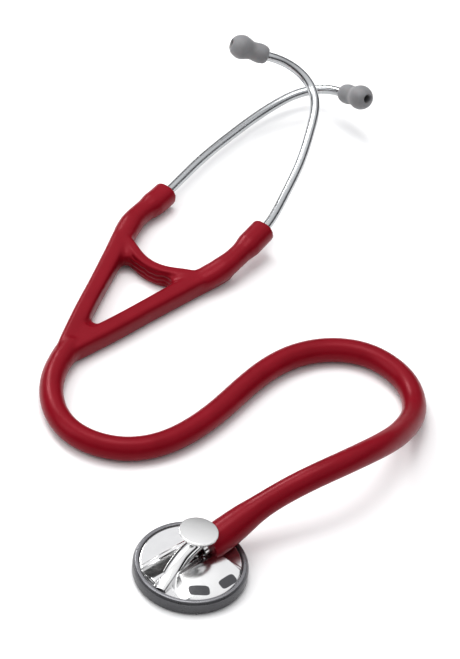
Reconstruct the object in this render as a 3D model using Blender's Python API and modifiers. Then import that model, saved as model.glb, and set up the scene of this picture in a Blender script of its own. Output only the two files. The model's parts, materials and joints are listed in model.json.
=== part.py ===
"""Single-sided cardiology stethoscope, laid down on a flat surface.

Frame: the origin is the centre of the chestpiece's contact face, +Z points up,
+Y runs from the chestpiece towards the headset. Lengths are written in
millimetres and turned into metres by MM.
"""
import math

import bmesh
import bpy
import numpy as np
from mathutils import Matrix, Vector

MM = 0.001
GAP = 0.3                       # clearance between pieces that touch

# Chestpiece
RIM_RADIUS = 25.7
RIM_HEIGHT = 7.4
RIM_INNER_RADIUS = 22.9
DIAPHRAGM_RADIUS = 21.2
DIAPHRAGM_THICKNESS = 0.5
BODY_RADIUS = 22.5
BODY_BOTTOM = 2.2
BODY_TOP = 6.9
DISH_DEPTH = 1.6
TROUGH_RADIUS = 14.8
TROUGH_FLOOR = 4.5
TROUGH_OFFSET = 2.3             # sideways from the stem's axis
CAP_RADIUS = 8.9
CAP_THICKNESS = 1.3
CAP_CENTRE = (2.0, 4.4, 22.6)
CAP_TILT = 6.0

# Stem and its socket in the tubing
STEM_AZIMUTH = 45.0
STEM_SLOPE = 10.0
STEM_START_HEIGHT = 10.1
STEM_BLOCK_RADIUS = 5.4
STEM_BLOCK_END = 9.4
STEM_SET_DEPTH = 3.6            # of the barb in its block
BARB_RADIUS = 3.3
BARB_BORE_RADIUS = 2.2
BARB_END = 31.0
SOCKET_START = 10.2
SOCKET_RADIUS = 7.4
SOCKET_BORE_RADIUS = 4.4

# Tubing and headset
HOSE_RADIUS = 5.5
HOSE_SPACING = 11.0             # distance between the tube's rings
END_STEP = 0.6                  # length of a tube's first and last steps
WEB_HEIGHT = 7.4
BRIDGE_THICKNESS = 5.6
BRIDGE_HEIGHT = 10.6
SPRING_THICKNESS = 0.5
SPRING_HEIGHT = 5.6
HEEL_RADIUS = 5.5
HEEL_HEIGHT = 10.6
SLEEVE_BORE_RADIUS = 2.8
SLEEVE_BORE_DEPTH = 22.0
EAR_TUBE_RADIUS = 2.2
EAR_TUBE_WALL = 0.6
TIP_LENGTH = 19.0
TUBE_IN_TIP = 8.0

HEADSET_ORIGIN = (-70.7, 117.1)
HEADSET_AZIMUTH = 60.5          # of its long axis, from +X towards +Y
HEEL_U = 84.0
HEEL_V = 21.7

# Route of the tubing's centreline, from the chestpiece's stem to the headset.
TUBING_ROUTE = [
    (7.1, 7.1, 11.9), (11.4, 11.5, 13.0), (16.2, 16.4, 14.5), (23.6, 23.8, 17.0), (32.4, 30.6, 20.6),
    (41.8, 36.8, 24.0), (52.0, 43.4, 26.6), (62.0, 51.2, 27.2), (71.4, 61.0, 25.4),
    (79.6, 72.4, 21.4), (86.0, 85.0, 16.0), (90.4, 97.8, 11.0), (92.4, 109.4, 7.5),
    (91.4, 119.8, 6.0), (87.4, 129.6, 5.6), (80.0, 137.8, 5.6), (70.0, 143.6, 5.6),
    (58.0, 145.4, 5.6), (46.0, 143.0, 5.6), (34.4, 136.6, 5.6), (24.0, 126.4, 5.6),
    (14.4, 112.8, 5.6), (5.0, 98.0, 5.6), (-6.4, 83.4, 5.6), (-19.4, 72.4, 5.6),
    (-34.0, 67.0, 5.6), (-48.6, 68.2, 5.6), (-60.8, 75.2, 5.6), (-68.4, 87.0, 5.6),
    (-71.2, 100.6, 5.6), (-69.6, 115.0, 5.6), (-64.8, 128.2, 5.6),
]
SOCKET_LENGTH = 39.1            # along the route
FOOT_LENGTH = 13.6              # the last stretch, which is moulded with the yoke

# Half of the yoke in the headset's frame (u along, v sideways), mirrored for the other.
LEG_LINE = [(12.0, 2.4), (22.0, 4.9), (34.0, 8.4), (50.0, 12.5), (68.0, 17.4), (HEEL_U, HEEL_V)]
LEG_RADII = [5.3, 5.2, 4.9, 4.8, 4.9, 5.2]
BRIDGE_LINE = [(HEEL_U, HEEL_V), (81.6, 15.4), (77.9, 8.2), (76.2, 0.0)]
LEFT_ARM_LINE = [(HEEL_U, -HEEL_V, 6.2), (93.0, -24.0, 6.2), (101.5, -25.0, 6.2), (111.0, -24.4, 6.1),
                 (117.5, -23.9, 6.0), (123.5, -23.7, 6.0)]
RIGHT_ARM_LINE = [(HEEL_U, HEEL_V, 6.4), (95.0, 25.8, 7.8), (102.5, 27.3, 8.8), (112.0, 27.9, 9.8),
                  (118.5, 28.1, 10.4), (126.5, 28.2, 11.0)]
ARM_RADII = [5.1, 5.6, 5.4, 5.0, 5.7, 5.7]

# Centrelines of the ear tubes beyond their sleeves, and the direction that each tip points.
LEFT_TUBE_ROUTE = [(-16.8, 261.4, 5.6), (-4.2, 280.6, 5.6), (8.6, 297.4, 6.2), (17.6, 306.4, 7.5),
                   (26.4, 312.2, 9.2), (34.4, 314.0, 11.0), (41.0, 312.0, 13.6)]
LEFT_TIP_BASE = (46.3, 308.5, 15.8)
LEFT_TIP_DIRECTION = (0.64, -0.63, 0.44)
RIGHT_TUBE_ROUTE = [(24.4, 237.6, 12.4), (29.8, 257.3, 15.2), (33.1, 276.7, 19.0), (33.9, 289.6, 22.4),
                    (31.4, 298.3, 25.6), (26.5, 302.6, 29.3), (19.9, 304.2, 33.3), (14.5, 303.8, 36.2)]
RIGHT_TIP_BASE = (9.5, 303.0, 38.3)
RIGHT_TIP_DIRECTION = (-0.943, -0.05, 0.33)

FINE_STEPS = 64
SMALL_STEPS = 24


def clear_scene():
    for obj in list(bpy.data.objects):
        bpy.data.objects.remove(obj, do_unlink=True)


def new_collection(name):
    collection = bpy.data.collections.new(name)
    bpy.context.scene.collection.children.link(collection)
    return collection


def make_material(name, colour, roughness, metallic):
    material = bpy.data.materials.new(name)
    material.use_nodes = True
    shader = material.node_tree.nodes["Principled BSDF"]
    shader.inputs["Base Color"].default_value = (*colour, 1.0)
    shader.inputs["Roughness"].default_value = roughness
    shader.inputs["Metallic"].default_value = metallic
    return material


clear_scene()
PARTS = new_collection("stethoscope")
CUTTERS = new_collection("cutters")

STEEL = (0.80, 0.80, 0.80)
PVC = (0.25, 0.015, 0.022)


def add_object(name, data, collection=None):
    obj = bpy.data.objects.new(name, data)
    (collection or CUTTERS).objects.link(obj)
    return obj


def finish_part(obj, name, colour, roughness, metallic):
    """Name the object, move it to the parts' collection and give it its own material."""
    obj.name = name
    obj.data.name = name
    for collection in list(obj.users_collection):
        collection.objects.unlink(obj)
    PARTS.objects.link(obj)
    obj.data.materials.clear()
    obj.data.materials.append(make_material(name, colour, roughness, metallic))
    if obj.type == "MESH":
        obj.data.shade_smooth()
        obj.data.set_sharp_from_angle(angle=math.radians(35.0))
    return obj


def evaluated_mesh(obj):
    """The object's shape as a plain mesh object, in place of the first one."""
    graph = bpy.context.evaluated_depsgraph_get()
    graph.update()
    mesh = bpy.data.meshes.new_from_object(obj.evaluated_get(graph), depsgraph=graph)
    shape = bmesh.new()
    shape.from_mesh(mesh)
    bmesh.ops.remove_doubles(shape, verts=shape.verts, dist=0.00001)
    shape.to_mesh(mesh)
    shape.free()
    result = add_object(obj.name + "_mesh", mesh)
    result.matrix_world = obj.matrix_world.copy()
    bpy.data.objects.remove(obj, do_unlink=True)
    return result


def combine(obj, other, operation):
    """Join another object to this one, or cut it away, with a Boolean modifier."""
    modifier = obj.modifiers.new(operation.lower(), "BOOLEAN")
    modifier.operation = operation
    modifier.object = other
    modifier.solver = "EXACT"
    other.hide_render = True
    other.display_type = "WIRE"


def turned(name, profile, steps, closed=False):
    """Solid of revolution about Z. The profile of (radius, height) runs down its outer side."""
    points = [(radius * MM, 0.0, height * MM) for radius, height in profile]
    edges = [(i, i + 1) for i in range(len(points) - 1)]
    if closed:
        edges.append((len(points) - 1, 0))
    mesh = bpy.data.meshes.new(name)
    mesh.from_pydata(points, edges, [])
    obj = add_object(name, mesh)
    screw = obj.modifiers.new("turn", "SCREW")
    screw.axis = "Z"
    screw.angle = 2.0 * math.pi
    screw.steps = steps
    screw.render_steps = steps
    screw.use_merge_vertices = True
    screw.merge_threshold = 0.00001
    return obj


def point_along(obj, start, direction):
    """Stand the object's local Z along a direction, with its origin at start (millimetres)."""
    turn = Vector(direction).to_track_quat("Z", "Y").to_matrix().to_4x4()
    obj.matrix_world = Matrix.Translation(Vector(start) * MM) @ turn
    bpy.context.view_layer.update()


def cylinder(name, radius, start, direction, length, steps=SMALL_STEPS):
    obj = turned(name, [(0.0, length), (radius, length), (radius, 0.0), (0.0, 0.0)], steps)
    point_along(obj, start, direction)
    return obj


def spline_through(points, samples):
    """Points at even spacing on a natural cubic spline through the given ones, plus its length."""
    knots = np.array(points, dtype=float)
    chord = np.concatenate([[0.0], np.cumsum(np.linalg.norm(np.diff(knots, axis=0), axis=1))])
    count = len(knots)
    step = np.diff(chord)
    system = np.eye(count)
    right = np.zeros_like(knots)
    for i in range(1, count - 1):
        system[i, i - 1] = step[i - 1]
        system[i, i] = 2.0 * (step[i - 1] + step[i])
        system[i, i + 1] = step[i]
        right[i] = 6.0 * ((knots[i + 1] - knots[i]) / step[i] - (knots[i] - knots[i - 1]) / step[i - 1])
    curvature = np.linalg.solve(system, right)

    def at(distance):
        i = int(min(max(np.searchsorted(chord, distance) - 1, 0), count - 2))
        a = (chord[i + 1] - distance) / step[i]
        b = 1.0 - a
        bend = ((a ** 3 - a) * curvature[i] + (b ** 3 - b) * curvature[i + 1]) * step[i] ** 2 / 6.0
        return a * knots[i] + b * knots[i + 1] + bend

    dense = np.array([at(d) for d in np.linspace(0.0, chord[-1], 40 * count)])
    length = np.concatenate([[0.0], np.cumsum(np.linalg.norm(np.diff(dense, axis=0), axis=1))])
    wanted = np.linspace(0.0, length[-1], samples)
    spaced = [[np.interp(d, length, dense[:, k]) for k in range(dense.shape[1])] for d in wanted]
    return np.array(spaced), float(length[-1])


def tube(name, points, radii, resolution=3, caps=True):
    """Tube along points (millimetres); radii is one number or one for each point."""
    if isinstance(radii, (int, float)):
        radii = [radii] * len(points)
    curve = bpy.data.curves.new(name, "CURVE")
    curve.dimensions = "3D"
    curve.twist_mode = "MINIMUM"
    curve.bevel_depth = MM
    curve.bevel_resolution = resolution
    curve.use_fill_caps = caps
    spline = curve.splines.new("POLY")
    spline.points.add(len(points) - 1)
    for knot, place, radius in zip(spline.points, points, radii):
        knot.co = (place[0] * MM, place[1] * MM, place[2] * MM, 1.0)
        knot.radius = radius
    return add_object(name, curve)


def plate(name, outline, half_height, edge, centre_height):
    """Flat outline in the XY plane with rounded edges, as a mesh object."""
    curve = bpy.data.curves.new(name, "CURVE")
    curve.dimensions = "2D"
    curve.fill_mode = "BOTH"
    curve.extrude = (half_height - edge) * MM
    curve.bevel_depth = edge * MM
    curve.bevel_resolution = 1
    curve.offset = -edge * MM
    spline = curve.splines.new("POLY")
    spline.points.add(len(outline) - 1)
    for knot, place in zip(spline.points, outline):
        knot.co = (place[0] * MM, place[1] * MM, 0.0, 1.0)
    spline.use_cyclic_u = True
    obj = add_object(name, curve)
    obj.location = (0.0, 0.0, centre_height * MM)
    bpy.context.view_layer.update()
    return evaluated_mesh(obj)


def headset_point(u, v, height=0.0):
    angle = math.radians(HEADSET_AZIMUTH)
    x = HEADSET_ORIGIN[0] + u * math.cos(angle) + v * math.sin(angle)
    y = HEADSET_ORIGIN[1] + u * math.sin(angle) - v * math.cos(angle)
    return (x, y, height)


def stem_direction():
    azimuth = math.radians(STEM_AZIMUTH)
    slope = math.radians(STEM_SLOPE)
    return Vector((math.cos(azimuth) * math.cos(slope), math.sin(azimuth) * math.cos(slope), math.sin(slope)))


def stem_point(distance):
    return Vector((0.0, 0.0, STEM_START_HEIGHT)) + stem_direction() * distance


# ---------------------------------------------------------------- chestpiece

def build_rim():
    profile = [
        (23.3, RIM_HEIGHT), (24.2, RIM_HEIGHT - 0.1), (25.2, 6.0), (RIM_RADIUS, 4.8), (RIM_RADIUS, 1.2),
        (25.2, 0.3), (24.4, 0.0), (23.0, 0.0), (23.0, 1.7), (RIM_INNER_RADIUS, 1.9),
        (RIM_INNER_RADIUS, RIM_HEIGHT - 0.4),
    ]
    finish_part(turned("rim", profile, FINE_STEPS, closed=True), "rim_ring", (0.10, 0.10, 0.11), 0.45, 0.6)


def build_diaphragm():
    top = DIAPHRAGM_THICKNESS
    profile = [(0.0, top), (DIAPHRAGM_RADIUS, top), (DIAPHRAGM_RADIUS, 0.0), (0.0, 0.0)]
    finish_part(turned("disc", profile, FINE_STEPS), "diaphragm", (0.55, 0.55, 0.55), 0.4, 0.0)


def build_surround():
    inner = DIAPHRAGM_RADIUS + GAP
    profile = [(22.6, 1.6), (22.6, 0.3), (inner, 0.3), (inner, 0.9), (22.0, 1.6)]
    finish_part(turned("ring", profile, FINE_STEPS, closed=True), "diaphragm_surround", (0.08, 0.08, 0.08),
                0.6, 0.0)


def side_of_stem(distance, sideways, height):
    """A point set off from the stem's axis in plan, to its left."""
    azimuth = math.radians(STEM_AZIMUTH)
    x = distance * math.cos(azimuth) - sideways * math.sin(azimuth)
    y = distance * math.sin(azimuth) + sideways * math.cos(azimuth)
    return (x, y, height)


def build_chestpiece_body():
    base = turned("base", [
        (0.0, BODY_TOP), (BODY_RADIUS - 0.6, BODY_TOP), (BODY_RADIUS, BODY_TOP - 0.6),
        (BODY_RADIUS, BODY_BOTTOM),
        (20.6, BODY_BOTTOM), (9.0, BODY_BOTTOM + 0.8), (0.0, BODY_BOTTOM + DISH_DEPTH),
    ], FINE_STEPS)
    base = evaluated_mesh(base)
    # raised front half: a low dome, kept only on one side of the trough
    dome = evaluated_mesh(turned("dome", [
        (0.0, 11.0), (5.0, 10.8), (10.0, 10.3), (15.0, 9.4), (19.0, 8.3), (21.8, 6.9), (21.8, 5.6),
        (0.0, 5.6),
    ], FINE_STEPS))
    trough_height = TROUGH_FLOOR + TROUGH_RADIUS
    trough = cylinder("trough", TROUGH_RADIUS, side_of_stem(-30.0, TROUGH_OFFSET, trough_height),
                      side_of_stem(1.0, 0.0, 0.0), 60.0, 48)
    back_cut = cylinder("back_cut", 40.0, side_of_stem(0.0, TROUGH_OFFSET, 0.0),
                        side_of_stem(0.0, 1.0, 0.0), 60.0, 4)
    right_cut = cylinder("right_cut", 30.0, (27.0, 10.0, -5.0), (0.0, 0.0, 1.0), 40.0, 3)
    for cutter in (back_cut, right_cut):
        combine(dome, cutter, "DIFFERENCE")
    dome = evaluated_mesh(dome)
    combine(base, dome, "UNION")
    combine(base, trough, "DIFFERENCE")
    # grip: the ridge from the front edge up to the neck, and the block that holds the stem
    ridge_line = [(-12.0, -17.2, 5.6), (-10.4, -12.6, 6.0), (-8.2, -7.8, 7.4), (-5.6, -3.2, 10.2),
                  (-2.6, 0.8, 14.0), (0.8, 3.4, 16.4), (1.6, 4.2, 16.8)]
    ridge_points, _ = spline_through(ridge_line, 12)
    ridge_radii = [2.8, 2.8, 2.8, 2.9, 3.0, 3.2, 3.4, 3.5, 3.6, 3.7, 3.7, 3.4]
    ridge = evaluated_mesh(tube("ridge", ridge_points, ridge_radii, 2))
    block = cylinder("block", STEM_BLOCK_RADIUS, stem_point(-1.0), stem_direction(), STEM_BLOCK_END + 1.0)
    neck = turned("neck", [(0.0, 0.0), (6.4, 0.0), (5.0, -1.3), (4.0, -3.0), (3.9, -14.0), (0.0, -14.0)],
                  SMALL_STEPS)
    point_along(neck, cap_base(), cap_normal())
    for piece in (block, neck, ridge):
        combine(base, piece, "UNION")
    # the sound bore: down from the dish into the stem's hole
    stem_hole = cylinder("stem_hole", BARB_RADIUS + GAP, stem_point(5.0), stem_direction(), 20.0)
    stem_bore = cylinder("stem_bore", BARB_BORE_RADIUS, stem_point(-0.5), stem_direction(), 8.0)
    dish_bore = cylinder("dish_bore", BARB_BORE_RADIUS, (0.0, 0.0, 0.0), (0.0, 0.0, 1.0), STEM_START_HEIGHT)
    for hole in (stem_hole, stem_bore, dish_bore):
        combine(base, hole, "DIFFERENCE")
    finish_part(evaluated_mesh(base), "chestpiece_body", STEEL, 0.12, 1.0)


def cap_normal():
    azimuth = math.radians(STEM_AZIMUTH)
    tilt = math.radians(CAP_TILT)
    return Vector((math.sin(tilt) * math.cos(azimuth), math.sin(tilt) * math.sin(azimuth), math.cos(tilt)))


def cap_base():
    """Centre of the neck's top face, just below the cap."""
    return Vector(CAP_CENTRE) - cap_normal() * (CAP_THICKNESS + GAP)


def build_cap():
    edge = 0.4
    cap = turned("cap", [
        (0.0, 0.0), (CAP_RADIUS - edge, 0.0), (CAP_RADIUS, -edge), (CAP_RADIUS, -CAP_THICKNESS + edge),
        (CAP_RADIUS - edge, -CAP_THICKNESS), (0.0, -CAP_THICKNESS),
    ], 48)
    point_along(cap, CAP_CENTRE, cap_normal())
    finish_part(cap, "thumb_cap", STEEL, 0.15, 1.0)


def build_stem():
    start = STEM_BLOCK_END - STEM_SET_DEPTH
    length = BARB_END - start
    bore = BARB_BORE_RADIUS
    profile = [(bore, length), (BARB_RADIUS - 0.4, length)]
    for crest in (length - 4.0, length - 9.0, length - 14.0):
        profile += [(BARB_RADIUS + 0.7, crest), (BARB_RADIUS, crest - 0.8)]
    profile += [(BARB_RADIUS, 0.0), (bore, 0.0)]
    stem = turned("stem", profile, SMALL_STEPS, closed=True)
    point_along(stem, stem_point(start), stem_direction())
    finish_part(stem, "stem_barb", STEEL, 0.2, 1.0)


# ------------------------------------------------------------------- tubing

def tubing_line():
    route, length = spline_through(TUBING_ROUTE, 241)
    return route, np.linspace(0.0, length, 241), length


def route_between(start, end, samples):
    """Points on the tubing's route, from one distance along it to another.

    They are evenly spaced, and the first and last steps are short, so that end faces meet squarely.
    """
    route, along, _ = tubing_line()
    wanted = np.linspace(start, end, samples)
    wanted[1] = start + END_STEP
    wanted[-2] = end - END_STEP
    return [[float(np.interp(d, along, route[:, k])) for k in range(3)] for d in wanted]


def build_socket():
    """Swollen end of the tubing, pushed over the stem."""
    samples = 19
    points = route_between(0.0, SOCKET_LENGTH, samples)
    radii = []
    for i in range(samples):
        t = i / (samples - 1)
        ease = t * t * (3.0 - 2.0 * t)
        radii.append(SOCKET_RADIUS + (HOSE_RADIUS - SOCKET_RADIUS) * ease)
    radii[0] -= 1.5
    radii[1] -= 0.5
    socket = evaluated_mesh(tube("socket", points, radii, 4))
    depth = BARB_END - SOCKET_START + 1.0
    combine(socket, cylinder("socket_hole", SOCKET_BORE_RADIUS, stem_point(SOCKET_START - 3.0),
                             stem_direction(), depth + 3.0), "DIFFERENCE")
    finish_part(evaluated_mesh(socket), "hose_socket", PVC, 0.45, 0.0)


def build_hose():
    _, _, length = tubing_line()
    start = SOCKET_LENGTH + GAP
    end = length - FOOT_LENGTH - GAP
    count = int(round((end - start) / HOSE_SPACING)) + 1
    hose = tube("hose", route_between(start, end, count), HOSE_RADIUS, 4)
    finish_part(hose, "hose", PVC, 0.45, 0.0)


def yoke_half_line(line, side, samples, height):
    points, _ = spline_through([(u, v * side) for u, v in line], samples)
    return [headset_point(u, v, height) for u, v in points]


def bridge_centreline(samples):
    half = BRIDGE_LINE
    other = [(u, -v) for u, v in reversed(half[:-1])]
    points, _ = spline_through(half + other, samples)
    return points


def ribbon_outline(points, half_width):
    """Closed outline at an even distance on both sides of a line in the headset's plane."""
    tangent = np.gradient(points, axis=0)
    tangent /= np.linalg.norm(tangent, axis=1)[:, None]
    normal = np.stack([-tangent[:, 1], tangent[:, 0]], axis=1)
    one = points + normal * half_width
    two = points - normal * half_width
    return [headset_point(u, v) for u, v in list(one) + list(two[::-1])]


def heel_cutter(side):
    place = headset_point(HEEL_U, HEEL_V * side, -1.0)
    return cylinder("heel_cut", HEEL_RADIUS + GAP, place, (0.0, 0.0, 1.0), 20.0, 32)


def combined(obj, other, operation):
    """The result of one Boolean as a plain mesh object, ready for the next."""
    combine(obj, other, operation)
    return evaluated_mesh(obj)


def build_yoke():
    """Moulded junction: foot, two legs, the web between them and the bridge."""
    _, _, length = tubing_line()
    foot_points = route_between(length - FOOT_LENGTH, length, 5)
    yoke = evaluated_mesh(tube("foot", foot_points, HOSE_RADIUS, 3))
    height = HOSE_RADIUS + 0.1
    radii = [float(np.interp(t, np.linspace(0.0, 1.0, len(LEG_RADII)), LEG_RADII))
             for t in np.linspace(0.0, 1.0, 12)]
    for side in (-1.0, 1.0):
        leg = evaluated_mesh(tube("leg", yoke_half_line(LEG_LINE, side, 12, height), radii, 3))
        yoke = combined(yoke, leg, "UNION")
    web_outline = [headset_point(u, v) for u, v in [
        (9.5, -1.2), (20.0, -4.3), (30.0, -7.2), (32.2, -3.6), (32.8, 0.0), (32.2, 3.6), (30.0, 7.2),
        (20.0, 4.3), (9.5, 1.2)]]
    yoke = combined(yoke, plate("web", web_outline, WEB_HEIGHT / 2.0, 0.8, height), "UNION")
    bridge_outline = ribbon_outline(bridge_centreline(17), BRIDGE_THICKNESS / 2.0)
    bridge = plate("bridge", bridge_outline, BRIDGE_HEIGHT / 2.0, 1.2, BRIDGE_HEIGHT / 2.0 + 0.2)
    yoke = combined(yoke, bridge, "UNION")
    slot_outline = ribbon_outline(bridge_centreline(17), SPRING_THICKNESS + 1.5 * GAP)
    slot = plate("slot", slot_outline, SPRING_HEIGHT / 2.0 + GAP, 0.1, BRIDGE_HEIGHT / 2.0 + 0.2)
    yoke = combined(yoke, slot, "DIFFERENCE")
    for side in (-1.0, 1.0):
        yoke = combined(yoke, heel_cutter(side), "DIFFERENCE")
    finish_part(yoke, "yoke_body", PVC, 0.45, 0.0)


def build_leaf_springs():
    """Two leaves that lie one behind the other inside the bridge."""
    centre = bridge_centreline(33)
    heel = np.array([HEEL_U, HEEL_V])
    inside = [p for p in centre
              if min(np.linalg.norm(p - heel), np.linalg.norm(p - heel * (1, -1))) > HEEL_RADIUS + 1.4]
    inside = np.array(inside)
    tangent = np.gradient(inside, axis=0)
    tangent /= np.linalg.norm(tangent, axis=1)[:, None]
    normal = np.stack([-tangent[:, 1], tangent[:, 0]], axis=1)
    offset = (SPRING_THICKNESS + GAP / 2.0) / 2.0
    for name, side in (("leaf_spring_inner", 1.0), ("leaf_spring_outer", -1.0)):
        outline = ribbon_outline(inside + normal * offset * side, SPRING_THICKNESS / 2.0)
        leaf = plate(name, outline, SPRING_HEIGHT / 2.0, 0.05, BRIDGE_HEIGHT / 2.0 + 0.2)
        finish_part(leaf, name, (0.45, 0.45, 0.47), 0.35, 1.0)


def arm_points(line, samples):
    points, _ = spline_through([headset_point(u, v, z) for u, v, z in line], samples)
    return points


def sleeve_axis(line):
    """End of the sleeve and the direction out of it."""
    end = Vector(headset_point(*line[-1]))
    before = Vector(headset_point(*line[-2]))
    return end, (end - before).normalized()


def build_arm(name, line):
    heel_place = headset_point(*line[0])
    half = HEEL_HEIGHT / 2.0
    heel = turned("heel", [
        (0.0, half), (HEEL_RADIUS - 2.0, half), (HEEL_RADIUS - 0.6, half - 0.6), (HEEL_RADIUS, half - 2.0),
        (HEEL_RADIUS, -half + 2.0), (HEEL_RADIUS - 0.6, -half + 0.6), (HEEL_RADIUS - 2.0, -half),
        (0.0, -half),
    ], 32)
    point_along(heel, (heel_place[0], heel_place[1], HEEL_HEIGHT / 2.0 + 0.3), (0.0, 0.0, 1.0))
    arm = evaluated_mesh(heel)
    samples = 13
    radii = [float(np.interp(t, np.linspace(0.0, 1.0, len(ARM_RADII)), ARM_RADII))
             for t in np.linspace(0.0, 1.0, samples)]
    radii[-1] = ARM_RADII[-1] - 0.8
    combine(arm, evaluated_mesh(tube("arm", arm_points(line, samples), radii, 3)), "UNION")
    end, outwards = sleeve_axis(line)
    combine(arm, cylinder("sleeve_hole", SLEEVE_BORE_RADIUS, end - outwards * SLEEVE_BORE_DEPTH, outwards,
                          SLEEVE_BORE_DEPTH + 2.0), "DIFFERENCE")
    finish_part(evaluated_mesh(arm), name, PVC, 0.45, 0.0)


def build_ear_tube(name, line, route, tip_base, tip_direction):
    """Hollow metal tube from inside the sleeve to inside the ear tip."""
    end, outwards = sleeve_axis(line)
    tip = Vector(tip_direction).normalized()
    base = Vector(tip_base)
    knots = [end - outwards * (SLEEVE_BORE_DEPTH - 1.0), end - outwards * 10.0, end]
    knots += [Vector(p) for p in route]
    knots += [base, base + tip * TUBE_IN_TIP]
    samples = 41
    points, _ = spline_through([tuple(k) for k in knots], samples)
    radii = [EAR_TUBE_RADIUS] * samples
    radii[1] += 0.3
    shell = evaluated_mesh(tube(name, points, radii, 2, caps=False))
    wall = shell.modifiers.new("wall", "SOLIDIFY")
    wall.thickness = EAR_TUBE_WALL * MM
    wall.offset = -1.0
    wall.use_even_offset = True
    finish_part(evaluated_mesh(shell), name, STEEL, 0.15, 1.0)


def build_tip_insert(name, tip_base, tip_direction):
    """Firm core that the soft ear tip snaps over."""
    inner = EAR_TUBE_RADIUS + GAP
    profile = [(inner, 8.4), (2.9, 8.4), (3.2, 7.2), (2.9, 6.0), (2.9, 2.4), (3.2, 1.2), (inner, 1.2)]
    insert = turned(name, profile, SMALL_STEPS, closed=True)
    point_along(insert, tip_base, tip_direction)
    finish_part(insert, name, (0.75, 0.75, 0.74), 0.4, 0.0)


def build_ear_tip(name, tip_base, tip_direction):
    """Soft tip: a large round lobe in front of a small one, with a sound hole through it."""
    outer = []
    for centre, radius, low, high in ((12.9, 5.9, -44.0, 66.0), (4.9, 4.8, -32.0, 28.0)):
        for angle in np.linspace(high, low, 6):
            turn = math.radians(angle)
            outer.append((radius * math.cos(turn), centre + radius * math.sin(turn)))
    profile = [(2.0, TIP_LENGTH - 0.6)] + outer + [(4.0, 0.0), (3.5, 0.0), (3.5, 8.8), (2.0, 10.4)]
    tip = turned(name, profile, SMALL_STEPS, closed=True)
    point_along(tip, tip_base, tip_direction)
    finish_part(tip, name, (0.22, 0.22, 0.23), 0.75, 0.0)


build_rim()
build_diaphragm()
build_surround()
build_chestpiece_body()
build_cap()
build_stem()
build_socket()
build_hose()
build_yoke()
build_leaf_springs()
for prefix, arm_line, tube_route, base_point, direction_of_tip in (
        ("left", LEFT_ARM_LINE, LEFT_TUBE_ROUTE, LEFT_TIP_BASE, LEFT_TIP_DIRECTION),
        ("right", RIGHT_ARM_LINE, RIGHT_TUBE_ROUTE, RIGHT_TIP_BASE, RIGHT_TIP_DIRECTION)):
    build_arm(prefix + "_arm", arm_line)
    build_ear_tube(prefix + "_ear_tube", arm_line, tube_route, base_point, direction_of_tip)
    build_tip_insert(prefix + "_tip_insert", base_point, direction_of_tip)
    build_ear_tip(prefix + "_ear_tip", base_point, direction_of_tip)
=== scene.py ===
"""Looks of the stethoscope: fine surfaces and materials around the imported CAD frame.

The object's lengths are written in millimetres and turned into metres by MM. Those of the
camera, the lights, the floor and the reliefs in the materials are in metres. The headset's
own directions are u, along its axis away from the hose, and v, sideways.
"""
import json
import math

import bmesh
import bpy
import numpy as np
from mathutils import Matrix, Vector


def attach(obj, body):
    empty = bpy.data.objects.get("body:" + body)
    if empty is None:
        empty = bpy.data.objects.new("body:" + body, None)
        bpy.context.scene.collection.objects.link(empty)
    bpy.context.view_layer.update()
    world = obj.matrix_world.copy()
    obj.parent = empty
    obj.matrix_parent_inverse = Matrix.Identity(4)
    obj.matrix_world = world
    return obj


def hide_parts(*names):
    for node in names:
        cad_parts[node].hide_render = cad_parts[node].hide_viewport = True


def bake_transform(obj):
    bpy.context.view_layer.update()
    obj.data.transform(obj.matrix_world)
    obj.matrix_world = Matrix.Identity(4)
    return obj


MM = 0.001

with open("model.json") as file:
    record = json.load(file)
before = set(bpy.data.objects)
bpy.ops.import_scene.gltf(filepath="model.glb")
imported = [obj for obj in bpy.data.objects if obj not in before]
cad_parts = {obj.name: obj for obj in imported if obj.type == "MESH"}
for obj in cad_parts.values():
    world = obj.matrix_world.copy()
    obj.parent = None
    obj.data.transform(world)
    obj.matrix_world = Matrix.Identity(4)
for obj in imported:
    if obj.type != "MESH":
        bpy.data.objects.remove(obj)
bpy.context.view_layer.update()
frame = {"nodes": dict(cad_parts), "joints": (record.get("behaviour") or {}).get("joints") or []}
JOINTS = {joint["name"]: joint for joint in frame["joints"]}

# Camera and table: the camera stands 46 degrees above the table
CAMERA_ELEVATION = math.radians(46.0)
CAMERA_ROLL = math.radians(6.5)
CAMERA_DISTANCE = 3.0
CAMERA_LENS = 372.0             # focal length, as on a 36 mm sensor
CAMERA_SENSOR = 36.0
CAMERA_TARGET = (0.0059, 0.1565, 0.0)
FLOOR_HALF_SIZE = 6.0
FLOOR_DROP = 0.0002             # keeps the floor clear of the faces that stand on it

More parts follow.
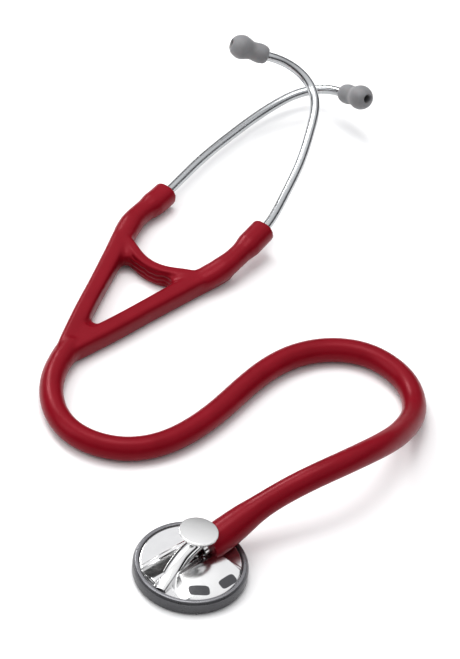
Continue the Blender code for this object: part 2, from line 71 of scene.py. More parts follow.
# Tubing
HOSE_RADIUS = 5.5
SOCKET_LENGTH = 39.1
SOCKET_LIP = 1.2                # soft lip that meets the casting
FOOT_LENGTH = 13.6              # end of the route that is moulded with the yoke
TUBING_SIDES = 56
TUBING_ROUTE = [
    (7.1, 7.1, 11.9), (11.4, 11.5, 13.0), (16.2, 16.4, 14.5), (23.6, 23.8, 17.0), (32.4, 30.6, 20.6),
    (41.8, 36.8, 24.0), (52.0, 43.4, 26.6), (62.0, 51.2, 27.2), (71.4, 61.0, 25.4),
    (79.6, 72.4, 21.4), (86.0, 85.0, 16.0), (90.4, 97.8, 11.0), (92.4, 109.4, 7.5),
    (91.4, 119.8, 6.0), (87.4, 129.6, 5.6), (80.0, 137.8, 5.6), (70.0, 143.6, 5.6),
    (58.0, 145.4, 5.6), (46.0, 143.0, 5.6), (34.4, 136.6, 5.6), (24.0, 126.4, 5.6),
    (14.4, 112.8, 5.6), (5.0, 98.0, 5.6), (-6.4, 83.4, 5.6), (-19.4, 72.4, 5.6),
    (-34.0, 67.0, 5.6), (-48.6, 68.2, 5.6), (-60.8, 75.2, 5.6), (-68.4, 87.0, 5.6),
    (-71.2, 100.6, 5.6), (-69.6, 115.0, 5.6), (-64.8, 128.2, 5.6),
]

# Headset
HEADSET_ORIGIN = (-70.7, 117.1)
HEADSET_AZIMUTH = math.radians(60.5)
HEEL_U = 84.0
HEEL_V = 21.7
YOKE_HEIGHT = 5.5               # of the moulding's middle above the table
YOKE_FILLET = 3.0               # radius in the yoke's inner corners
SPRING_HEIGHT = 5.6             # of the leaf springs' middle
RIB_PITCH = 2.5
RIB_DEPTH = 0.26
EAR_TUBE_RADIUS = 2.2
LEFT_ARM_LINE = [(HEEL_U, -HEEL_V, 6.2), (93.0, -24.0, 6.2), (101.5, -25.0, 6.2), (111.0, -24.4, 6.1),
                 (117.5, -23.9, 6.0), (123.5, -23.7, 6.0)]
RIGHT_ARM_LINE = [(HEEL_U, HEEL_V, 6.4), (95.0, 25.8, 7.8), (102.5, 27.3, 8.8), (112.0, 27.9, 9.8),
                  (118.5, 28.1, 10.4), (126.5, 28.2, 11.0)]
LEFT_TUBE_ROUTE = [(-16.8, 261.4, 5.6), (-4.2, 280.6, 5.6), (8.6, 297.4, 6.2), (17.6, 306.4, 7.5),
                   (26.4, 312.2, 9.2), (34.4, 314.0, 11.0), (41.0, 312.0, 13.6)]
LEFT_TIP_BASE = (46.3, 308.5, 15.8)
RIGHT_TUBE_ROUTE = [(24.4, 237.6, 12.4), (29.8, 257.3, 15.2), (33.1, 276.7, 19.0), (33.9, 289.6, 22.4),
                    (31.4, 298.3, 25.6), (26.5, 302.6, 29.3), (19.9, 304.2, 33.3), (14.5, 303.8, 36.2)]
RIGHT_TIP_BASE = (9.5, 303.0, 38.3)

# Chestpiece
STEM_AZIMUTH = math.radians(45.0)
PLATE_RADIUS = 22.75
PLATE_GRID = 0.22               # spacing of the points on its face
PLATE_EDGE_HEIGHT = 7.35        # the most that it may have beside the rim
PLATE_UNDERSIDE = 2.4
CAP_CENTRE = (2.0, 4.4, 22.6)
CAP_RADIUS = 8.9
CAP_THICKNESS = 1.3
CAP_TILT = math.radians(6.0)
# Painted dark reflections on the casting, drawn as dark panels: centre, turn in degrees and half size
PAINTED_REFLECTION_PANELS = [((5.0, -17.6), 13.0, (4.7, 2.4)), ((17.0, -9.6), 48.0, (4.4, 2.2))]

# Surface finish
SMOOTH_ANGLE = 40.0             # edges sharper than this stay sharp
POLISH_SCALE = 300.0            # of the unevenness in polished steel


# ------------------------------------------------------------------ camera, light and floor

def make_camera():
    """Long lens from the front, tilted a little to the side by its roll."""
    data = bpy.data.cameras.new("camera")
    data.lens = CAMERA_LENS
    data.sensor_width = CAMERA_SENSOR
    data.clip_end = 50.0
    camera = bpy.data.objects.new("camera", data)
    bpy.context.scene.collection.objects.link(camera)
    place = Vector((0.0, -math.cos(CAMERA_ELEVATION), math.sin(CAMERA_ELEVATION))) * CAMERA_DISTANCE
    back = (place - Vector(CAMERA_TARGET)).normalized()
    level = Vector((0.0, 0.0, 1.0)).cross(back).normalized()
    up = back.cross(level)
    right = level * math.cos(CAMERA_ROLL) + up * math.sin(CAMERA_ROLL)
    up = back.cross(right)
    camera.matrix_world = Matrix.Translation(place) @ Matrix((right, up, back)).transposed().to_4x4()
    bpy.context.scene.camera = camera


def make_light(name, place, target, size, power):
    """Rectangular softbox that faces its target."""
    data = bpy.data.lights.new(name, "AREA")
    data.shape = "RECTANGLE"
    data.size, data.size_y = size
    data.energy = power
    light = bpy.data.objects.new(name, data)
    bpy.context.scene.collection.objects.link(light)
    away = Vector(place) - Vector(target)
    light.matrix_world = Matrix.Translation(Vector(place)) @ away.to_track_quat("Z", "Y").to_matrix().to_4x4()


def make_world():
    """A studio that is bright overhead and dim low down, with plain pale walls for the camera."""
    world = bpy.data.worlds.new("studio")
    bpy.context.scene.world = world
    world.use_nodes = True
    tree = world.node_tree
    tree.nodes.clear()
    coordinates = tree.nodes.new("ShaderNodeTexCoord")
    split = tree.nodes.new("ShaderNodeSeparateXYZ")
    ramp = tree.nodes.new("ShaderNodeValToRGB")
    ramp.color_ramp.interpolation = "EASE"
    stops = ramp.color_ramp.elements
    stops[0].position, stops[0].color = 0.0, (0.02, 0.02, 0.022, 1.0)
    stops[1].position, stops[1].color = 1.0, (1.0, 1.0, 1.0, 1.0)
    for position, grey in ((0.30, 0.03), (0.44, 0.14), (0.58, 0.70), (0.72, 0.92)):
        stop = stops.new(position)
        stop.color = (grey, grey, grey * 1.02, 1.0)
    room = tree.nodes.new("ShaderNodeBackground")
    room.inputs["Strength"].default_value = 1.0
    wall = tree.nodes.new("ShaderNodeBackground")
    wall.inputs["Color"].default_value = (0.86, 0.86, 0.87, 1.0)
    path = tree.nodes.new("ShaderNodeLightPath")
    mix = tree.nodes.new("ShaderNodeMixShader")
    output = tree.nodes.new("ShaderNodeOutputWorld")
    tree.links.new(coordinates.outputs["Generated"], split.inputs[0])
    tree.links.new(split.outputs["Z"], ramp.inputs[0])
    tree.links.new(ramp.outputs[0], room.inputs["Color"])
    tree.links.new(path.outputs["Is Camera Ray"], mix.inputs[0])
    tree.links.new(room.outputs[0], mix.inputs[1])
    tree.links.new(wall.outputs[0], mix.inputs[2])
    tree.links.new(mix.outputs[0], output.inputs[0])


def make_floor():
    """Plain white table top."""
    mesh = bpy.data.meshes.new("floor")
    half = FLOOR_HALF_SIZE
    corners = [(-half, -half, 0.0), (half, -half, 0.0), (half, half, 0.0), (-half, half, 0.0)]
    mesh.from_pydata(corners, [], [(0, 1, 2, 3)])
    floor = bpy.data.objects.new("floor", mesh)
    bpy.context.scene.collection.objects.link(floor)
    floor.location.z = -FLOOR_DROP
    material, _, shader = new_material("floor", (0.94, 0.94, 0.94), 0.6, 0.0)
    shader.inputs["Specular IOR Level"].default_value = 0.2
    mesh.materials.append(material)


# ------------------------------------------------------------------ materials

def new_material(name, colour, roughness, metallic):
    material = bpy.data.materials.new(name)
    material.use_nodes = True
    tree = material.node_tree
    shader = tree.nodes["Principled BSDF"]
    shader.inputs["Base Color"].default_value = (*colour, 1.0)
    shader.inputs["Roughness"].default_value = roughness
    shader.inputs["Metallic"].default_value = metallic
    return material, tree, shader


def noise(tree, scale, detail=3.0, stretch=(1.0, 1.0, 1.0)):
    """Noise in the object's own coordinates, finer across the axes with a large stretch."""
    coordinates = tree.nodes.new("ShaderNodeTexCoord")
    mapping = tree.nodes.new("ShaderNodeMapping")
    mapping.inputs["Scale"].default_value = stretch
    texture = tree.nodes.new("ShaderNodeTexNoise")
    texture.inputs["Scale"].default_value = scale
    texture.inputs["Detail"].default_value = detail
    tree.links.new(coordinates.outputs["Object"], mapping.inputs["Vector"])
    tree.links.new(mapping.outputs["Vector"], texture.inputs["Vector"])
    return texture


def vary_roughness(tree, shader, texture, low, high):
    """Roughness from low to high over the values that a texture mostly has, 0.3 to 0.7."""
    spread = tree.nodes.new("ShaderNodeMapRange")
    spread.inputs["From Min"].default_value = 0.3
    spread.inputs["From Max"].default_value = 0.7
    spread.inputs["To Min"].default_value = low
    spread.inputs["To Max"].default_value = high
    tree.links.new(texture.outputs["Fac"], spread.inputs["Value"])
    tree.links.new(spread.outputs["Result"], shader.inputs["Roughness"])


def vary_colour(tree, shader, texture, dark, light):
    """Colour from dark to light over the same values."""
    ramp = tree.nodes.new("ShaderNodeValToRGB")
    ramp.color_ramp.elements[0].position = 0.3
    ramp.color_ramp.elements[0].color = (*dark, 1.0)
    ramp.color_ramp.elements[1].position = 0.7
    ramp.color_ramp.elements[1].color = (*light, 1.0)
    tree.links.new(texture.outputs["Fac"], ramp.inputs[0])
    tree.links.new(ramp.outputs[0], shader.inputs["Base Color"])


def mix_towards(tree, factor, source, colour):
    """Blend a colour output towards a plain colour, by a factor output."""
    blend = tree.nodes.new("ShaderNodeMix")
    blend.data_type = "RGBA"
    blend.inputs["B"].default_value = (*colour, 1.0)
    tree.links.new(factor, blend.inputs["Factor"])
    tree.links.new(source, blend.inputs["A"])
    return blend.outputs["Result"]


def add_bump(tree, shader, texture, strength, distance, before=None):
    """Relief from a texture, on top of an earlier relief if there is one."""
    bump = tree.nodes.new("ShaderNodeBump")
    bump.inputs["Strength"].default_value = strength
    bump.inputs["Distance"].default_value = distance
    tree.links.new(texture.outputs["Fac"], bump.inputs["Height"])
    if before is not None:
        tree.links.new(before.outputs["Normal"], bump.inputs["Normal"])
    tree.links.new(bump.outputs["Normal"], shader.inputs["Normal"])
    return bump


def pvc_material():
    """Burgundy soft PVC: satin, faintly mottled, with a fine moulded grain."""
    material, tree, shader = new_material("burgundy_pvc", (0.20, 0.005, 0.014), 0.32, 0.0)
    vary_colour(tree, shader, noise(tree, 55.0, 4.0), (0.185, 0.0048, 0.0125), (0.218, 0.0068, 0.0165))
    vary_roughness(tree, shader, noise(tree, 240.0), 0.28, 0.36)
    shader.inputs["IOR"].default_value = 1.32
    shader.inputs["Specular IOR Level"].default_value = 0.62
    shader.inputs["Specular Tint"].default_value = (1.0, 0.34, 0.38, 1.0)
    grain = add_bump(tree, shader, noise(tree, 2600.0, 2.0), 0.10, 0.00004)
    add_bump(tree, shader, noise(tree, 130.0, 2.0), 0.05, 0.0004, grain)
    return material


def steel_material(name, base, roughness, spread, stretch=(1.0, 1.0, 1.0)):
    """Bare steel with the fine uneven polish of a real surface."""
    material, tree, shader = new_material(name, base, roughness, 1.0)
    polish = noise(tree, POLISH_SCALE, 4.0, stretch)
    vary_roughness(tree, shader, polish, roughness - spread, roughness + spread)
    darker = tuple(c * 0.96 for c in base)
    vary_colour(tree, shader, noise(tree, 90.0), darker, base)
    add_bump(tree, shader, noise(tree, POLISH_SCALE * 4.0, 2.0, stretch), 0.012, 0.00002)
    return material


def painted_reflection_steel_material():
    """The casting's steel, with two small dark panels of painted reflection near the front of the rim.

    Each panel is a superellipse in its own coordinates, where it reaches from -1 to 1.
    """
    material = steel_material("steel_with_painted_reflections", (0.73, 0.73, 0.73), 0.19, 0.03)
    tree = material.node_tree
    shader = tree.nodes["Principled BSDF"]
    steel = shader.inputs["Base Color"].links[0].from_socket
    for place, angle, size in PAINTED_REFLECTION_PANELS:
        coordinates = tree.nodes.new("ShaderNodeTexCoord")
        mapping = tree.nodes.new("ShaderNodeMapping")
        mapping.vector_type = "TEXTURE"
        mapping.inputs["Location"].default_value = (place[0] * MM, place[1] * MM, 0.0)
        mapping.inputs["Rotation"].default_value = (0.0, 0.0, math.radians(angle))
        mapping.inputs["Scale"].default_value = (size[0] * MM, size[1] * MM, 1.0)
        split = tree.nodes.new("ShaderNodeSeparateXYZ")
        tree.links.new(coordinates.outputs["Object"], mapping.inputs["Vector"])
        tree.links.new(mapping.outputs["Vector"], split.inputs[0])
        powers = []
        for axis in ("X", "Y"):
            power = tree.nodes.new("ShaderNodeMath")
            power.operation = "POWER"
            power.inputs[1].default_value = 4.0
            tree.links.new(split.outputs[axis], power.inputs[0])
            powers.append(power)
        total = tree.nodes.new("ShaderNodeMath")
        total.operation = "ADD"
        tree.links.new(powers[0].outputs[0], total.inputs[0])
        tree.links.new(powers[1].outputs[0], total.inputs[1])
        inside = tree.nodes.new("ShaderNodeMapRange")
        inside.inputs["From Min"].default_value = 1.15
        inside.inputs["From Max"].default_value = 0.85
        tree.links.new(total.outputs[0], inside.inputs["Value"])
        # painted reflection: inside each panel the steel's colour is darkened to stand for dark surroundings
        # mirrored there
        steel = mix_towards(tree, inside.outputs["Result"], steel, (0.10, 0.10, 0.105))
    tree.links.new(steel, shader.inputs["Base Color"])
    return material


def turned_steel_material():
    """The cap's face: fine rings left by turning, around the cap's own axis."""
    material, tree, shader = new_material("cap_steel", (0.86, 0.86, 0.85), 0.20, 1.0)
    coordinates = tree.nodes.new("ShaderNodeTexCoord")
    rings = tree.nodes.new("ShaderNodeTexWave")
    rings.wave_type = "RINGS"
    rings.rings_direction = "Z"
    rings.inputs["Scale"].default_value = 900.0
    rings.inputs["Distortion"].default_value = 0.4
    tree.links.new(coordinates.outputs["Object"], rings.inputs["Vector"])
    vary_roughness(tree, shader, rings, 0.17, 0.24)
    add_bump(tree, shader, rings, 0.04, 0.00002)
    return material


def rim_material():
    """Dark grey plated ring, with its rounded top painted lighter as a painted highlight of the light from
    above.
    """
    material, tree, shader = new_material("rim_grey", (0.12, 0.12, 0.125), 0.30, 0.75)
    coordinates = tree.nodes.new("ShaderNodeTexCoord")
    split = tree.nodes.new("ShaderNodeSeparateXYZ")
    tree.links.new(coordinates.outputs["Object"], split.inputs[0])
    height = tree.nodes.new("ShaderNodeMapRange")
    height.inputs["From Min"].default_value = 5.6 * MM
    height.inputs["From Max"].default_value = 7.2 * MM
    tree.links.new(split.outputs["Z"], height.inputs["Value"])
    grain = noise(tree, 120.0)
    side = tree.nodes.new("ShaderNodeValToRGB")
    side.color_ramp.elements[0].color = (0.085, 0.085, 0.09, 1.0)
    side.color_ramp.elements[1].color = (0.115, 0.115, 0.12, 1.0)
    tree.links.new(grain.outputs["Fac"], side.inputs[0])
    # painted highlight: the colour turns lighter towards the ring's top, where light from above falls
    colour = mix_towards(tree, height.outputs["Result"], side.outputs[0], (0.20, 0.20, 0.21))
    tree.links.new(colour, shader.inputs["Base Color"])
    vary_roughness(tree, shader, noise(tree, 500.0), 0.26, 0.33)
    add_bump(tree, shader, noise(tree, 1800.0, 2.0), 0.02, 0.00002)
    return material


def silicone_material():
    """Grey soft-touch ear tips: matt, with a powdery sheen."""
    material, tree, shader = new_material("grey_silicone", (0.20, 0.20, 0.205), 0.58, 0.0)
    vary_colour(tree, shader, noise(tree, 160.0, 4.0), (0.185, 0.185, 0.19), (0.222, 0.222, 0.228))
    vary_roughness(tree, shader, noise(tree, 700.0), 0.52, 0.66)
    shader.inputs["Sheen Weight"].default_value = 0.25
    shader.inputs["Sheen Roughness"].default_value = 0.45
    shader.inputs["Subsurface Weight"].default_value = 0.06
    shader.inputs["Subsurface Scale"].default_value = 0.002
    add_bump(tree, shader, noise(tree, 3000.0, 2.0), 0.12, 0.00004)
    return material


def plastic_material(name, colour, roughness):
    """Moulded plastic or rubber with a fine grain."""
    material, tree, shader = new_material(name, colour, roughness, 0.0)
    darker = tuple(c * 0.9 for c in colour)
    lighter = tuple(c * 1.1 for c in colour)
    vary_colour(tree, shader, noise(tree, 200.0), darker, lighter)
    vary_roughness(tree, shader, noise(tree, 600.0), roughness - 0.06, roughness + 0.06)
    add_bump(tree, shader, noise(tree, 1500.0), 0.15, 0.00005)
    return material


def diaphragm_material():
    """Glass-fibre laminate: a fine woven print under a satin face."""
    material, tree, shader = new_material("laminate", (0.50, 0.50, 0.48), 0.38, 0.0)
    coordinates = tree.nodes.new("ShaderNodeTexCoord")
    weave = tree.nodes.new("ShaderNodeTexChecker")
    weave.inputs["Scale"].default_value = 1400.0
    tree.links.new(coordinates.outputs["Object"], weave.inputs["Vector"])
    weave.inputs["Color1"].default_value = (0.52, 0.52, 0.50, 1.0)
    weave.inputs["Color2"].default_value = (0.44, 0.44, 0.425, 1.0)
    tree.links.new(weave.outputs["Color"], shader.inputs["Base Color"])
    add_bump(tree, shader, noise(tree, 1400.0, 2.0), 0.12, 0.00004)
    return material


# ------------------------------------------------------------------ geometry helpers

def spline_through(points, samples):
    """Points at even spacing on a natural cubic spline through the given ones, plus its length."""
    knots = np.array(points, dtype=float)
    chord = np.concatenate([[0.0], np.cumsum(np.linalg.norm(np.diff(knots, axis=0), axis=1))])
    count = len(knots)
    step = np.diff(chord)
    system = np.eye(count)
    right = np.zeros_like(knots)
    for i in range(1, count - 1):
        system[i, i - 1] = step[i - 1]
        system[i, i] = 2.0 * (step[i - 1] + step[i])
        system[i, i + 1] = step[i]
        right[i] = 6.0 * ((knots[i + 1] - knots[i]) / step[i] - (knots[i] - knots[i - 1]) / step[i - 1])
    curvature = np.linalg.solve(system, right)
    distance = np.linspace(0.0, chord[-1], 60 * count)
    i = np.clip(np.searchsorted(chord, distance) - 1, 0, count - 2)
    a = ((chord[i + 1] - distance) / step[i])[:, None]
    b = 1.0 - a
    bend = ((a ** 3 - a) * curvature[i] + (b ** 3 - b) * curvature[i + 1]) * step[i][:, None] ** 2 / 6.0
    dense = a * knots[i] + b * knots[i + 1] + bend
    length = np.concatenate([[0.0], np.cumsum(np.linalg.norm(np.diff(dense, axis=0), axis=1))])
    wanted = np.linspace(0.0, length[-1], samples)
    spaced = np.stack([np.interp(wanted, length, dense[:, k]) for k in range(dense.shape[1])], axis=1)
    return spaced, float(length[-1])


def mesh_object(name, vertices, faces):
    """Smooth mesh object from vertices in millimetres."""
    mesh = bpy.data.meshes.new(name)
    mesh.from_pydata([tuple(float(c) * MM for c in v) for v in vertices], [], faces)
    mesh.validate()
    obj = bpy.data.objects.new(name, mesh)
    bpy.context.scene.collection.objects.link(obj)
    mesh.shade_smooth()
    mesh.set_sharp_from_angle(angle=math.radians(SMOOTH_ANGLE))
    return obj


def frames_along(points):
    """Tangents and two steady side directions at each point of a line; the first side is level."""
    tangent = np.gradient(points, axis=0)
    tangent /= np.linalg.norm(tangent, axis=1)[:, None]
    level = np.cross(np.array([0.0, 0.0, 1.0]), tangent)
    level /= np.linalg.norm(level, axis=1)[:, None]
    return tangent, level, np.cross(tangent, level)


def swept(name, points, half_width, half_height, around, power=2.0):
    """Closed tube along points with a superellipse section: power 2 is round, 4 is nearly square."""
    count = len(points)
    width = np.broadcast_to(np.asarray(half_width, float), (count,))
    height = np.broadcast_to(np.asarray(half_height, float), (count,))
    _, level, upright = frames_along(points)
    vertices = []
    for i in range(count):
        for k in range(around):
            turn = 2.0 * math.pi * k / around
            across = math.copysign(abs(math.cos(turn)) ** (2.0 / power), math.cos(turn)) * width[i]
            along = math.copysign(abs(math.sin(turn)) ** (2.0 / power), math.sin(turn)) * height[i]
            vertices.append(points[i] + level[i] * across + upright[i] * along)
    faces = []
    for i in range(count - 1):
        for k in range(around):
            n = (k + 1) % around
            faces.append((i * around + k, i * around + n, (i + 1) * around + n, (i + 1) * around + k))
    faces.append(tuple(range(around))[::-1])
    faces.append(tuple((count - 1) * around + k for k in range(around)))
    return mesh_object(name, vertices, faces)


def turned(name, profile, around, closed=True):
    """Solid of revolution about Z from (radius, height) points, in millimetres.

    A profile that starts and ends on the axis isn't closed.
    """
    vertices = []
    for radius, height in profile:
        for k in range(around):
            turn = 2.0 * math.pi * k / around
            vertices.append((radius * math.cos(turn), radius * math.sin(turn), height))
    rows = len(profile)
    faces = []
    for i in range(rows if closed else rows - 1):
        j = (i + 1) % rows
        for k in range(around):
            n = (k + 1) % around
            faces.append((i * around + k, j * around + k, j * around + n, i * around + n))
    obj = mesh_object(name, vertices, faces)
    shape = bmesh.new()
    shape.from_mesh(obj.data)
    bmesh.ops.remove_doubles(shape, verts=shape.verts, dist=0.000002)
    bmesh.ops.recalc_face_normals(shape, faces=shape.faces)
    shape.to_mesh(obj.data)
    shape.free()
    return obj


def rounded(profile, radii, steps):
    """A closed profile with its corners rounded by curves of about the given radii."""
    result = []
    count = len(profile)
    for i in range(count):
        here = np.array(profile[i], float)
        before = np.array(profile[i - 1], float) - here
        after = np.array(profile[(i + 1) % count], float) - here
        reach = min(radii[i], 0.45 * np.linalg.norm(before), 0.45 * np.linalg.norm(after))
        if reach < 0.01:
            result.append(tuple(here))
            continue
        start = here + before / np.linalg.norm(before) * reach
        end = here + after / np.linalg.norm(after) * reach
        for t in np.linspace(0.0, 1.0, steps):
            result.append(tuple((1 - t) ** 2 * start + 2 * t * (1 - t) * here + t * t * end))
    return result


def join(pieces, name):
    """One mesh object with all the pieces' geometry."""
    shape = bmesh.new()
    for piece in pieces:
        shape.from_mesh(piece.data)
        bpy.data.objects.remove(piece, do_unlink=True)
    mesh = bpy.data.meshes.new(name)
    shape.to_mesh(mesh)
    shape.free()
    obj = bpy.data.objects.new(name, mesh)
    bpy.context.scene.collection.objects.link(obj)
    return obj


def melt(obj, voxel, rounds, offset):
    """Remesh overlapping solids into one, smooth the creases where they meet and move the surface out.

    A negative offset moves it in.
    """
    remesh = obj.modifiers.new("melt", "REMESH")
    remesh.mode = "VOXEL"
    remesh.voxel_size = voxel * MM
    smooth = obj.modifiers.new("relax", "SMOOTH")
    smooth.factor = 0.5
    smooth.iterations = rounds
    if offset:
        shift = obj.modifiers.new("shift", "DISPLACE")
        shift.mid_level = 0.0
        shift.strength = offset * MM
    apply_modifiers(obj)


def apply_modifiers(obj):
    """Replace the mesh by what its modifiers make of it."""
    graph = bpy.context.evaluated_depsgraph_get()
    graph.update()
    mesh = bpy.data.meshes.new_from_object(obj.evaluated_get(graph), depsgraph=graph)
    obj.modifiers.clear()
    obj.data = mesh


def stand_along(obj, start, direction):
    """Stand the object's local Z along a direction, with its origin at start (millimetres)."""
    turn = Vector(direction).to_track_quat("Z", "Y").to_matrix().to_4x4()
    obj.matrix_world = Matrix.Translation(Vector(start) * MM) @ turn
    bpy.context.view_layer.update()


def dress(obj, material, body, slot, *nodes):
    """Give a piece its material, body and the CAD nodes that it stands for. The slot is not used."""
    obj.data.materials.clear()
    obj.data.materials.append(material)
    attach(obj, body)
    if nodes:
        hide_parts(*nodes)


def dress_node(name, material):
    """A better material on a CAD node that stays as it is."""
    node = frame["nodes"][name]
    node.data.materials.clear()
    node.data.materials.append(material)


def headset_point(u, v, height=0.0):
    """World point, in millimetres, of a place in the headset's own directions."""
    x = HEADSET_ORIGIN[0] + u * math.cos(HEADSET_AZIMUTH) + v * math.sin(HEADSET_AZIMUTH)
    y = HEADSET_ORIGIN[1] + u * math.sin(HEADSET_AZIMUTH) - v * math.cos(HEADSET_AZIMUTH)
    return np.array((x, y, height))


# ------------------------------------------------------------------ tubing

TUBING_LINE, TUBING_LENGTH = spline_through(TUBING_ROUTE, 401)


def tubing_between(start, end, samples):
    """Points on the tubing's route, from one distance along it to another."""
    along = np.linspace(0.0, TUBING_LENGTH, len(TUBING_LINE))
    wanted = np.linspace(start, end, samples)
    return np.stack([np.interp(wanted, along, TUBING_LINE[:, k]) for k in range(3)], axis=1)


def build_hose(material):
    """The free stretch of tubing, from its socket to the yoke's foot."""
    start = SOCKET_LENGTH
    end = TUBING_LENGTH - FOOT_LENGTH
    points = tubing_between(start, end, 180)
    hose = swept("hose_skin", points, HOSE_RADIUS, HOSE_RADIUS, TUBING_SIDES)
    dress(hose, material, "tubing", "tubing", "hose")


def build_socket(material):
    """Swollen end of the tubing over the stem: a soft lip, a full collar and a long taper."""
    samples = 60
    points = tubing_between(0.0, SOCKET_LENGTH, samples)
    points[0] += (points[0] - points[1]) / np.linalg.norm(points[1] - points[0]) * SOCKET_LIP
    reach = np.linspace(0.0, SOCKET_LENGTH, samples)
    shape_at = [0.0, 0.4, 1.0, 4.0, 9.0, 15.0, 21.0, 26.0, 32.0, SOCKET_LENGTH]
    shape_radius = [6.9, 7.2, 7.4, 7.45, 7.4, 7.1, 6.6, 6.0, 5.6, HOSE_RADIUS]
    radius = np.interp(reach, shape_at, shape_radius)
    for _ in range(6):
        radius[3:-1] = (radius[2:-2] + 2.0 * radius[3:-1] + radius[4:]) / 4.0
    radius[-2:] = HOSE_RADIUS
    socket = swept("socket_skin", points, radius, radius, TUBING_SIDES)
    dress(socket, material, "tubing", "tubing", "hose_socket")


make_camera()
make_world()
make_floor()
make_light("overhead", (-0.15, 0.45, 1.6), (0.0, 0.15, 0.0), (0.8, 0.8), 8.0)
make_light("back_left", (-0.85, 1.25, 1.05), (0.0, 0.12, 0.0), (0.55, 0.45), 9.0)
make_light("left_fill", (-1.3, -0.2, 1.1), (0.0, 0.12, 0.0), (0.8, 1.2), 6.0)
PVC = pvc_material()
build_hose(PVC)
build_socket(PVC)


# ------------------------------------------------------------------ yoke

def headset_line(line, samples):
    """Evenly spaced points on a smooth line through places given in the headset's directions."""
    points, _ = spline_through([headset_point(*p) for p in line], samples)
    return points


def oversize(name, points, width, deep, around, power):
    """A swept piece grown by the fillet radius on every side, with its ends rounded to match."""
    count = len(points)
    width = np.broadcast_to(np.asarray(width, float), (count,))
    deep = np.broadcast_to(np.asarray(deep, float), (count,))
    turns = np.radians([15.0, 30.0, 45.0, 60.0, 75.0, 88.0])
    reach = YOKE_FILLET * np.sin(turns)
    bulge = YOKE_FILLET * np.cos(turns)
    last = points[-1] - points[-2]
    last = last / np.linalg.norm(last)
    first = points[0] - points[1]
    first = first / np.linalg.norm(first)
    line = [points[0] + first * r for r in reach[::-1]] + [points] + [points[-1] + last * r for r in reach]
    wide = np.concatenate([width[0] + bulge[::-1], width + YOKE_FILLET, width[-1] + bulge])
    tall = np.concatenate([deep[0] + bulge[::-1], deep + YOKE_FILLET, deep[-1] + bulge])
    return swept(name, np.vstack(line), wide, tall, around, power)


def yoke_leg(side, end):
    """One leg: straight from the foot past its heel to the outer corner."""
    line = [(3.0, 0.4), (9.0, 1.3), (15.0, 2.9), (24.0, 5.5), (36.0, 9.0), (52.0, 13.2), (68.0, 17.5),
            (82.0, 21.2), end]
    points = headset_line([(u, v * side, YOKE_HEIGHT) for u, v in line], 70)
    t = np.linspace(0.0, 1.0, 70)
    width = np.interp(t, [0.0, 0.1, 0.25, 0.5, 0.8, 0.92, 1.0], [3.4, 4.3, 4.5, 4.3, 4.6, 5.1, 4.9])
    deep = np.interp(t, [0.0, 0.1, 0.9, 1.0], [4.4, 5.1, 5.1, 4.7])
    return oversize("leg", points, width, deep, 56, 2.8)


def build_yoke_skin(material):
    """One moulding: foot, legs, bridge and sleeves, melted together and split down the middle.

    The pieces are drawn oversize and the melted skin is shrunk back, which leaves a fillet
    in every inner corner.
    """
    foot = tubing_between(TUBING_LENGTH - FOOT_LENGTH - 1.5, TUBING_LENGTH, 30)
    swell = np.interp(np.arange(30), [0, 4, 8, 29], [5.3, 5.5, 5.62, 5.8])
    pieces = [oversize("foot", foot, swell, np.minimum(swell, 5.6), 48, 2.0)]
    web = headset_line([(u, 0.0, YOKE_HEIGHT) for u in (5.0, 15.0, 24.5)], 24)
    pieces.append(oversize("web", web, np.linspace(5.0, 4.2, 24), 4.9, 48, 2.4))
    pieces += [yoke_leg(-1.0, (91.5, 23.7)), yoke_leg(1.0, (99.0, 25.9))]
    half_bridge = [(HEEL_U, HEEL_V), (81.6, 15.4), (77.9, 8.2)]
    bridge = [(u, -v, YOKE_HEIGHT) for u, v in half_bridge] + [(76.2, 0.0, YOKE_HEIGHT)]
    bridge += [(u, v, YOKE_HEIGHT) for u, v in half_bridge[::-1]]
    pieces.append(oversize("bridge", headset_line(bridge, 60), 2.9, 5.1, 48, 2.9))
    t = np.linspace(0.0, 1.0, 80)
    stations = [0.0, 0.12, 0.30, 0.48, 0.60, 0.72, 1.0]
    wide = np.interp(t, stations, [5.0, 5.4, 5.4, 4.9, 4.9, 5.8, 5.8])
    deep = np.interp(t, stations, [4.3, 4.6, 5.1, 4.8, 4.8, 5.5, 5.5])
    for line in (LEFT_ARM_LINE, RIGHT_ARM_LINE):
        pieces.append(oversize("sleeve", headset_line(line, 80), wide, deep, 48, 2.2))
    skin = join(pieces, "yoke_skin")
    melt(skin, 0.6, 4, -YOKE_FILLET)
    melt(skin, 0.5, 7, 0.0)
    shape_bridge(skin)
    split_halves(skin, material)


def shape_bridge(obj):
    """Soft, slightly wavy ribs along the bridge's inner face, over the two leaf springs."""
    mesh = obj.data
    count = len(mesh.vertices)
    place = np.zeros(count * 3)
    mesh.vertices.foreach_get("co", place)
    place = place.reshape(-1, 3) / MM
    normal = np.zeros(count * 3)
    mesh.vertices.foreach_get("normal", normal)
    normal = normal.reshape(-1, 3)
    along = np.array([math.cos(HEADSET_AZIMUTH), math.sin(HEADSET_AZIMUTH)])
    across = np.array([math.sin(HEADSET_AZIMUTH), -math.cos(HEADSET_AZIMUTH)])
    flat = place[:, :2] - np.array(HEADSET_ORIGIN)
    u = flat @ along
    v = flat @ across
    facing = np.clip(-(normal[:, :2] @ along) * 1.6 - 0.5, 0.0, 1.0)
    near = np.clip((13.0 - np.abs(v)) / 3.0, 0.0, 1.0) * np.clip((u - 66.0) / 2.0, 0.0, 1.0)
    rise = place[:, 2] - SPRING_HEIGHT
    wander = rise + 0.35 * np.sin(v * 0.55) + 0.15 * np.sin(v * 1.4 + 1.0)
    ribs = RIB_DEPTH * np.cos(wander * 2.0 * math.pi / RIB_PITCH) * np.clip(4.4 - np.abs(rise), 0.0, 1.0)
    place += normal * (ribs * facing * near)[:, None]
    mesh.vertices.foreach_set("co", (place * MM).ravel())
    mesh.update()


